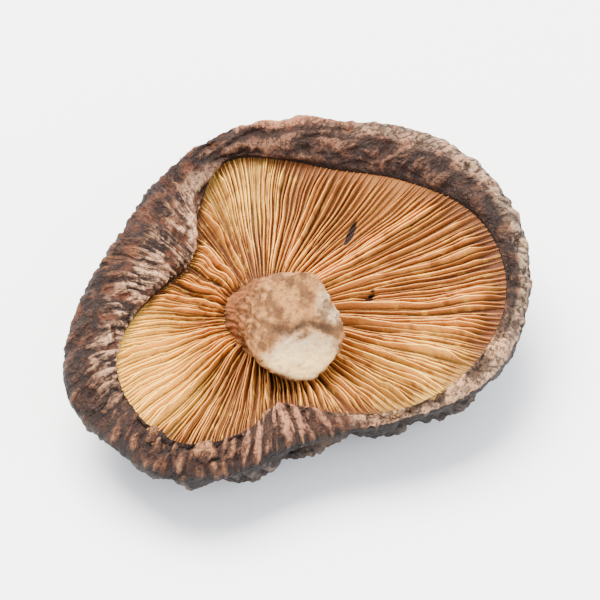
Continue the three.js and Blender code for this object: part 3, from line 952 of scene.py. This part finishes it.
def endLift(across, upward):
    # the cut end over its unit disc: the lower half faces the front, the upper half falls back
    form = stemCrease
    radius = np.hypot(across, upward)
    rounded = np.sqrt(np.clip(1 - radius**3, 0, 1))
    lift = rounded * (1 - stemForm["fallBack"] * smooth(0.0, 0.95, upward))
    middle = form["middle"] + form["swing"] * np.sin(form["waves"] * across + form["start"])
    crease = np.exp(-(((upward - middle) / form["width"]) ** 2)) * smooth(0.95, 0.5, np.abs(across))
    return stemForm["domeHeight"] * (lift - form["depth"] * crease * rounded), crease * rounded


def stemMesh():
    foot, bend, end = (np.array(stemForm[key]) for key in ("foot", "bend", "end"))
    angle = np.linspace(0, turn, stemForm["columns"], endpoint=False)[None]
    t = np.concatenate([np.linspace(0, 1, stemForm["rings"]), np.ones(stemForm["domeRings"] - 1)])
    inward = np.linspace(0, 1, stemForm["domeRings"] + 1)[1:-1]
    dome = np.concatenate([np.zeros(stemForm["rings"]), inward])[:, None]
    t3 = t[:, None]
    centre = (1 - t3) ** 2 * foot + 2 * t3 * (1 - t3) * bend + t3**2 * end
    tangent = 2 * (1 - t3) * (bend - foot) + 2 * t3 * (end - bend)
    tangent /= np.linalg.norm(tangent, axis=1)[:, None]
    up = np.array([0, 0, 1.0])
    level = smooth(0, 0.5, t)[:, None]
    direction = up + (tangent - up) * level
    direction /= np.linalg.norm(direction, axis=1)[:, None]
    across = np.array([1.0, 0, 0]) - direction * direction[:, :1]
    across /= np.linalg.norm(across, axis=1)[:, None]
    upward = np.cross(direction, across)
    flare = 1 + stemForm["flare"] * smooth(0.3, 0.05, t)[:, None]
    narrower, upperNarrower = stemForm["closing"]
    closing = (narrower + upperNarrower * np.clip(np.sin(angle), 0, 1)) * smooth(0.8, 1, t)[:, None]
    halfWidth = np.interp(t, (0, 0.5, 1), stemForm["halfWidths"])[:, None] * flare
    halfDepth = np.interp(t, (0, 0.5, 1), stemForm["halfDepths"])[:, None] * flare
    broad, small = stemForm["knobs"]
    knob = 1 + broad * np.sin(3 * angle + 1 + 2 * t3) + small * np.sin(5 * angle - 4 * t3)
    knob = knob * (1 - closing)
    scale = 1 - dome**1.3
    discX, discY = scale * np.cos(angle), scale * np.sin(angle)
    lift, crease = endLift(discX, discY)
    lift, crease = lift * (dome > 0), crease * (dome > 0)
    ring = (halfWidth * knob * discX)[..., None] * across[:, None]
    ring = ring + (halfDepth * knob * discY)[..., None] * upward[:, None]
    grid = lay(centre[:, None] + direction[:, None] * lift[..., None] + ring)
    top = lay(end + direction[-1] * endLift(0, 0)[0])
    wide = np.broadcast_to(angle, grid.shape[:2])
    rollRadius, rollLength = stemForm["fibreRoll"]
    values = {
        "flow": around(wide, rollRadius, np.broadcast_to(t3 * rollLength, wide.shape)),
        "disc": np.stack([discX, discY, np.broadcast_to(dome, wide.shape)], -1),
        "length": np.broadcast_to(t3, wide.shape),
        "crease": crease,
    }
    return gridMesh("stem", grid, values, firstPole=lay(foot), lastPole=top)


def stemTree(material):
    tree, sizes = geometryTree("stemFibres", list(stemRelief))
    flow = readAttribute(tree, "flow", "FLOAT_VECTOR")
    disc = readAttribute(tree, "disc", "FLOAT_VECTOR")
    ending = parts(tree, disc)[2]
    stretched = vecCalc(tree, "MULTIPLY", warped(tree, flow, 0.3, 1.0), (1.0, 1.0, 0.2))
    fibre = puffs(tree, stretched, 1.1, 3.8, 0.8, 2.0)
    endSize = (stemForm["halfWidths"][-1], stemForm["halfDepths"][-1], 0)
    face = warped(tree, vecCalc(tree, "MULTIPLY", disc, endSize), 0.4, 1.2)
    bark = puffs(tree, vecCalc(tree, "MULTIPLY", face, (0.5, 1.0, 1.0)), 0.7, 2.6, 0.6, 3.0)
    fibre = mixValue(tree, step(tree, ending, 0.02, 0.16), fibre, bark)
    depth = mixValue(tree, step(tree, ending, 0.0, 0.2), sizes["Fibre depth"], sizes["End depth"])
    closeTree(tree, embossed(tree, sizes["Geometry"], "fibre", fibre, depth), material)
    return tree


def makeStem():
    piece = grown("stemFlesh", stemMesh(), stemTree(stemMaterial()), stemRelief)
    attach(piece, "root")
    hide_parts("stem")


makeStem()
print("stem made")


# Floor and light

floorSurface = {"Roughness": 0.7, "Base Color": (0.92, 0.92, 0.93, 1)}
floorReach = 3.0


def makeFloor():
    mesh = bpy.data.meshes.new("floor")
    corners = [(x * floorReach, y * floorReach, 0) for x, y in ((-1, -1), (1, -1), (1, 1), (-1, 1))]
    mesh.from_pydata(corners, [], [(0, 1, 2, 3)])
    floor = added("floor", mesh)
    mesh.materials.append(newMaterial("paleFloor", floorSurface)[0])


sky = {"Color": (0.9, 0.93, 1.0, 1), "Strength": 2.2}
lamps = [  # name, place, aim, size, watts, colour
    ("keyLight", (-0.16, 0.22, 0.72), (0, 0, 0.01), 0.55, 31, (1.0, 0.955, 0.88)),
    ("fillLight", (0.5, -0.5, 0.5), (0, 0, 0.01), 0.6, 6, (0.93, 0.96, 1.0)),
]


def makeLight():
    for name, place, aim, size, watts, color in lamps:
        light = bpy.data.lights.new(name, "AREA")
        light.shape, light.size, light.energy, light.color = "SQUARE", size, watts, color
        lamp = added(name, light)
        lamp.location = place
        lamp.rotation_euler = (Vector(aim) - Vector(place)).to_track_quat("-Z", "Y").to_euler()
    world = bpy.data.worlds.new("world")
    bpy.context.scene.world = world
    world.use_nodes = True
    for key, value in sky.items():
        world.node_tree.nodes["Background"].inputs[key].default_value = value


makeFloor()
makeLight()
print("floor and light made")
